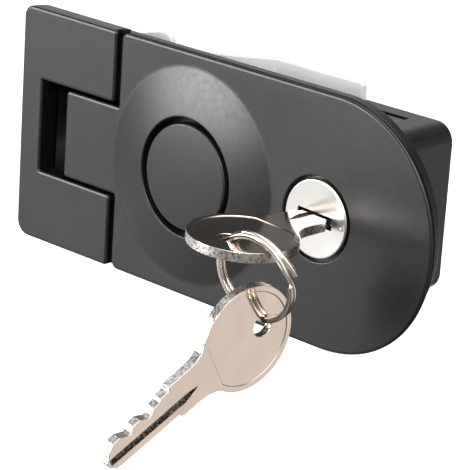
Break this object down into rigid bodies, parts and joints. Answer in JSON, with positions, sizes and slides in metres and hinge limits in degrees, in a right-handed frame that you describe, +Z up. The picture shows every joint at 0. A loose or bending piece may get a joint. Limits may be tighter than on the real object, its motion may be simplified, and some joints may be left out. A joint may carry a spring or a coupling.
{
  "type": "compression lever latch",
  "caption": "Flush black lever latch for a thin panel, with a domed push button that frees the lever, a key lock with keys on a split ring, and a bell-crank pawl behind the panel.",
  "frame": {"origin": "centre of the rectangular panel cut-out, on the panel's outer plane where the gasket seats", "axes": "+X along the latch from the hinge to the lever's free end, +Y into the panel, +Z up; the face looks toward -Y"},
  "size_m": [0.131, 0.0892, 0.0629],
  "materials": {
    "black_casting": "satin black powder coat on die-cast zinc",
    "gasket_rubber": "matte rubber",
    "zinc_plate": "bright zinc plating on steel",
    "bright_steel": "plain bright steel",
    "black_acetal": "plain black acetal",
    "nickel": "polished nickel plating"
  },
  "bodies": {
    "housing": {"housing": "black_casting", "panel_gasket": "gasket_rubber", "mounting_clip": "zinc_plate", "lever_pin": "bright_steel"},
    "lever": {"lever": "black_casting", "lever_bushes": "black_acetal", "pawl": "zinc_plate", "pawl_screws": "bright_steel", "grip_bolt": "bright_steel", "grip_nut": "zinc_plate", "lock_body": "nickel", "lock_nut": "zinc_plate", "catch_cover": "zinc_plate", "cover_screws": "bright_steel", "catch_spring": "bright_steel"},
    "button": {"release_button": "black_casting", "button_clip": "bright_steel"},
    "catch": {"catch_slide": "zinc_plate"},
    "lock_plug": {"lock_plug": "nickel", "lock_cam": "zinc_plate", "cam_screw": "bright_steel"},
    "key": {"key": "nickel"},
    "key_ring": {"key_ring": "nickel"},
    "spare_key": {"spare_key": "nickel"}
  },
  "joints": [
    {"name": "lever_lift", "type": "hinge", "parent": "housing", "child": "lever", "pos_m": [-0.033, 0.003, 0], "axis": [0, 0, -1], "range_deg": [0, 75]},
    {"name": "button_press", "type": "slide", "parent": "lever", "child": "button", "axis": [0, 1, 0], "range_m": [0, 0.002], "stiffness_N_per_m": 300},
    {"name": "catch_draw", "type": "slide", "parent": "lever", "child": "catch", "axis": [0, 0, -1], "range_m": [0, 0.002], "deforming": ["catch_spring"]},
    {"name": "lock_turn", "type": "hinge", "parent": "lever", "child": "lock_plug", "pos_m": [0.0352, 0, 0], "axis": [0, 1, 0], "range_deg": [0, 90]},
    {"name": "key_withdraw", "type": "slide", "parent": "lock_plug", "child": "key", "axis": [0, -1, 0], "range_m": [0, 0.02]},
    {"name": "ring_turn", "type": "hinge", "parent": "key", "child": "key_ring", "pos_m": [0.0414, -0.02865, -0.0055], "axis": [0.0408, -0.9735, -0.225], "range_deg": [-20, 20]},
    {"name": "spare_key_swing", "type": "hinge", "parent": "key_ring", "child": "spare_key", "pos_m": [0.0414, -0.0267, -0.0139], "axis": [0.991, -0.082, -0.106], "range_deg": [-15, 70]}
  ],
  "couplings": [
    {"joint": "catch_draw", "follows": "button_press", "ratio": 1}
  ]
}
